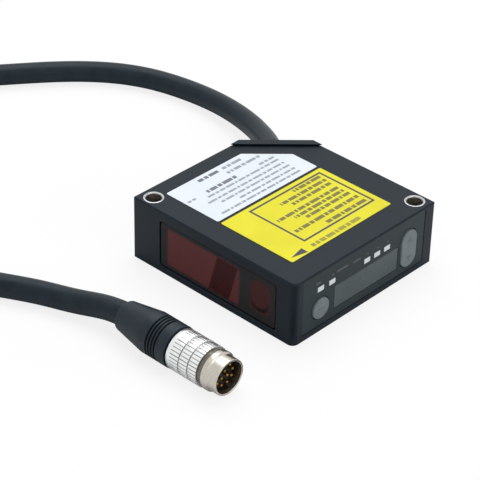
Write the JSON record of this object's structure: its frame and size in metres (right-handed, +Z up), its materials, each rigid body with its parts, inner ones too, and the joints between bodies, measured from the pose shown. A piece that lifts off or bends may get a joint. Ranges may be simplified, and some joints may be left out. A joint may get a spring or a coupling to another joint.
{
  "type": "laser displacement sensor",
  "caption": "Flat dark-grey laser displacement sensor head with red optics window, display and keys on one edge, and a short cable ending in a round push-pull connector.",
  "frame": {"origin": "middle of the sensor head's underside, on the surface that it lies on", "axes": "+Z up, from the cover plate to the labels; -Y out of the optics face, along the laser beam; +X out of the display face; the cable leaves the cut corner between -X and +Y"},
  "size_m": [0.222, 0.1814, 0.0204],
  "materials": {
    "body_plastic": "dark blue-grey moulded resin, fine satin grain",
    "cover_plastic": "dark grey moulded resin",
    "seal_rubber": "black foam rubber",
    "screw_steel": "zinc-plated steel",
    "bush_steel": "bright machined steel",
    "red_acrylic": "polished dark red acrylic",
    "mask_black": "black film",
    "cast_alloy": "die-cast alloy",
    "diode_metal": "gold-plated can",
    "lens_glass": "clear optical glass",
    "black_moulding": "black glass-filled resin",
    "board_green": "green solder mask",
    "chip_black": "black moulding compound",
    "flex_film": "amber polyimide film",
    "indicator_white": "milky white light guide",
    "switch_grey": "dark grey moulded resin",
    "panel_plastic": "dark grey satin panel",
    "filter_smoke": "smoke-grey display filter",
    "key_grey": "mid-grey satin key cap",
    "label_white": "white film label",
    "label_yellow": "yellow film label",
    "gland_rubber": "black-grey rubber",
    "cable_jacket": "dark grey satin jacket",
    "boot_plastic": "dark grey moulded boot",
    "sleeve_nickel": "bright nickel plate with three rows of ridges",
    "shell_nickel": "warm nickel plate",
    "insert_black": "black insulator",
    "pin_gold": "gold-plated contact"
  },
  "bodies": {
    "sensor": {"housing": "body_plastic", "cover": "cover_plastic", "cover_gasket": "seal_rubber", "cover_screws": "screw_steel", "mounting_bushes": "bush_steel", "front_window": "red_acrylic", "window_mask": "mask_black", "optical_base": "cast_alloy", "laser_holder": "cast_alloy", "laser_diode": "diode_metal", "collimator_lens": "lens_glass", "collimator_retainer": "black_moulding", "laser_board": "board_green", "receiver_block": "black_moulding", "receiver_lens": "lens_glass", "receiver_retainer": "black_moulding", "image_sensor": "chip_black", "sensor_board": "board_green", "main_board": "board_green", "main_chips": "chip_black", "board_screws": "screw_steel", "flex_cable": "flex_film", "display_board": "board_green", "digit_display": "chip_black", "indicator_chips": "indicator_white", "indicator_guides": "indicator_white", "key_switches": "switch_grey", "rocker_bracket": "switch_grey", "rocker_pin": "bush_steel", "display_panel": "panel_plastic", "display_filter": "filter_smoke", "white_label": "label_white", "yellow_label": "label_yellow", "cable_gland": "gland_rubber", "crimp_ring": "bush_steel", "cable": "cable_jacket", "plug_boot": "boot_plastic", "plug_shell": "shell_nickel", "plug_insert": "insert_black", "plug_pins": "pin_gold"},
    "round_key": {"round_key": "key_grey"},
    "rocker_key": {"rocker_key": "key_grey"},
    "plug_sleeve": {"plug_sleeve": "sleeve_nickel"}
  },
  "joints": [
    {"name": "round_key_press", "type": "slide", "parent": "sensor", "child": "round_key", "axis": [-1, 0, 0], "range_m": [0, 0.00035], "stiffness_N_per_m": 400},
    {"name": "rocker_key_tilt", "type": "hinge", "parent": "sensor", "child": "rocker_key", "pos_m": [0.0274, 0.0178, 0.0095], "axis": [0, 1, 0], "range_deg": [-2.5, 2.5], "stiffness_Nm_per_rad": 0.01},
    {"name": "plug_sleeve_pull", "type": "slide", "parent": "sensor", "child": "plug_sleeve", "axis": [-1, 0, 0], "range_m": [0, 0.0005], "stiffness_N_per_m": 500}
  ]
}
